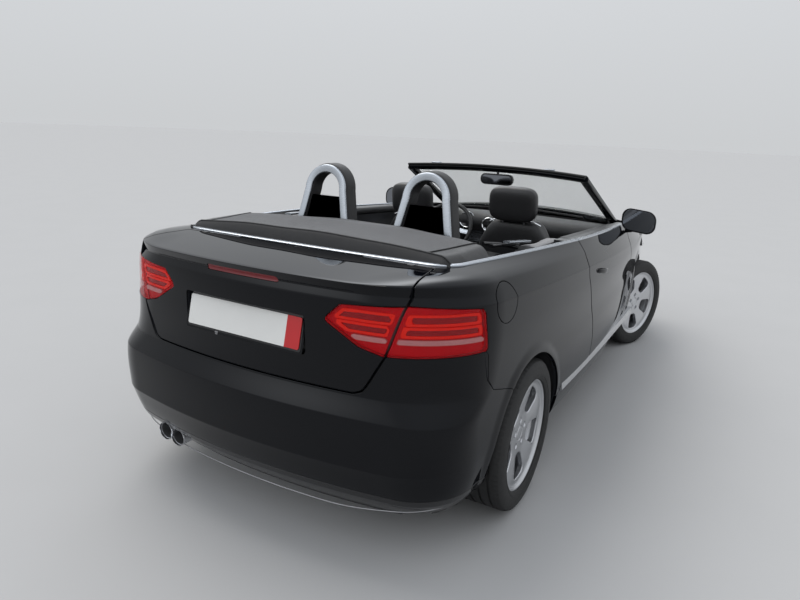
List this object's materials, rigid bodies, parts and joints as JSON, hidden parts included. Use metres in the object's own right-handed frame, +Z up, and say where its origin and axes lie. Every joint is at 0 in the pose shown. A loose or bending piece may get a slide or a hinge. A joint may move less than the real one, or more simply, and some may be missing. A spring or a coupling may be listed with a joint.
{
  "type": "four-seat soft-top convertible car",
  "caption": "Four-seat convertible car with folded fabric hood, twin roll hoops, opening doors, bonnet and boot lid, and steered front wheels.",
  "frame": {"origin": "on the ground under the middle of the car's length and width", "axes": "+X to the nose, +Y to the car's left, +Z up"},
  "size_m": [4.2377, 1.97, 1.3359],
  "materials": {
    "paint": "gloss black lacquer",
    "bumper_paint": "gloss black lacquer over plastic",
    "dark_plastic": "grained",
    "gloss_plastic": "gloss",
    "lamp_red": "clear red",
    "lamp_clear": "clear cover",
    "glass": "clear",
    "satin_aluminium": "brushed satin",
    "wheel_silver": "silver lacquer",
    "tyre": "matt rubber",
    "steel": "bare",
    "underbody": "sealed",
    "engine": "cast",
    "seat_leather": "soft grain",
    "hood_fabric": "woven canvas",
    "plate_white": "plain reflective",
    "trim_light": "satin light grey"
  },
  "bodies": {
    "car_body": {"floor_pan": "underbody", "sills": "paint", "quarter_panels": "paint", "front_wings": "paint", "front_bumper": "bumper_paint", "front_grille": "gloss_plastic", "headlamps": "lamp_clear", "rear_bumper": "bumper_paint", "rear_valance": "dark_plastic", "tail_lamps": "lamp_red", "windscreen_frame": "paint", "windscreen_glass": "glass", "scuttle": "dark_plastic", "dashboard": "dark_plastic", "front_seats": "seat_leather", "rear_seat": "seat_leather", "roll_hoops": "satin_aluminium", "hood_pack": "hood_fabric", "belt_trim": "satin_aluminium", "side_trims": "trim_light", "boot_tub": "dark_plastic", "front_wheel_liners": "dark_plastic", "rear_wheel_liners": "dark_plastic", "engine_block": "engine", "exhaust": "steel", "front_subframe": "steel", "rear_axle": "steel", "interior_mirror": "gloss_plastic"},
    "right_door": {"door_right": "paint", "mirror_right": "paint"},
    "left_door": {"door_left": "paint", "mirror_left": "paint"},
    "bonnet_lid": {"bonnet": "paint"},
    "rear_lid": {"boot_lid": "paint", "boot_lid_lamps": "lamp_red", "rear_plate": "plate_white"},
    "steering": {"steering_wheel": "seat_leather"},
    "right_knuckle": {"knuckle_right": "engine"},
    "left_knuckle": {"knuckle_left": "engine"},
    "wheel_rear_right": {"rim_rear_right": "wheel_silver", "tyre_rear_right": "tyre"},
    "wheel_rear_left": {"rim_rear_left": "wheel_silver", "tyre_rear_left": "tyre"},
    "wheel_front_right": {"rim_front_right": "wheel_silver", "tyre_front_right": "tyre"},
    "wheel_front_left": {"rim_front_left": "wheel_silver", "tyre_front_left": "tyre"}
  },
  "joints": [
    {"name": "right_door_hinge", "type": "hinge", "parent": "car_body", "child": "right_door", "pos_m": [0.569, -0.822, 0.6], "axis": [0, 0, 1], "range_deg": [0, 58]},
    {"name": "left_door_hinge", "type": "hinge", "parent": "car_body", "child": "left_door", "pos_m": [0.569, 0.822, 0.6], "axis": [0, 0, -1], "range_deg": [0, 58]},
    {"name": "bonnet_hinge", "type": "hinge", "parent": "car_body", "child": "bonnet_lid", "pos_m": [1.028, 0, 0.905], "axis": [0, -1, 0], "range_deg": [0, 50]},
    {"name": "boot_lid_hinge", "type": "hinge", "parent": "car_body", "child": "rear_lid", "pos_m": [-1.753, 0, 1.04794], "axis": [0, 1, 0], "range_deg": [0, 70]},
    {"name": "steer_right", "type": "hinge", "parent": "car_body", "child": "right_knuckle", "pos_m": [1.239, -0.707, 0.318], "axis": [0, 0, 1], "range_deg": [-16, 56]},
    {"name": "steer_left", "type": "hinge", "parent": "car_body", "child": "left_knuckle", "pos_m": [1.239, 0.707, 0.318], "axis": [0, 0, 1], "range_deg": [-16, 56]},
    {"name": "steering_wheel_turn", "type": "hinge", "parent": "car_body", "child": "steering", "pos_m": [0.33, 0.345, 0.85], "axis": [-0.922, 0, 0.3872], "range_deg": [-240, 840]},
    {"name": "spin_front_right", "type": "hinge", "parent": "right_knuckle", "child": "wheel_front_right", "pos_m": [1.21848, -0.76338, 0.318], "axis": [0.342, 0.9397, 0], "continuous": true},
    {"name": "spin_front_left", "type": "hinge", "parent": "left_knuckle", "child": "wheel_front_left", "pos_m": [1.25952, 0.76338, 0.318], "axis": [0.342, 0.9397, 0], "continuous": true},
    {"name": "spin_rear_right", "type": "hinge", "parent": "car_body", "child": "wheel_rear_right", "pos_m": [-1.339, -0.7535, 0.318], "axis": [0, 1, 0], "continuous": true},
    {"name": "spin_rear_left", "type": "hinge", "parent": "car_body", "child": "wheel_rear_left", "pos_m": [-1.339, 0.7535, 0.318], "axis": [0, 1, 0], "continuous": true}
  ],
  "couplings": [
    {"joint": "steer_left", "follows": "steer_right", "ratio": 1},
    {"joint": "steering_wheel_turn", "follows": "steer_right", "ratio": 15}
  ]
}
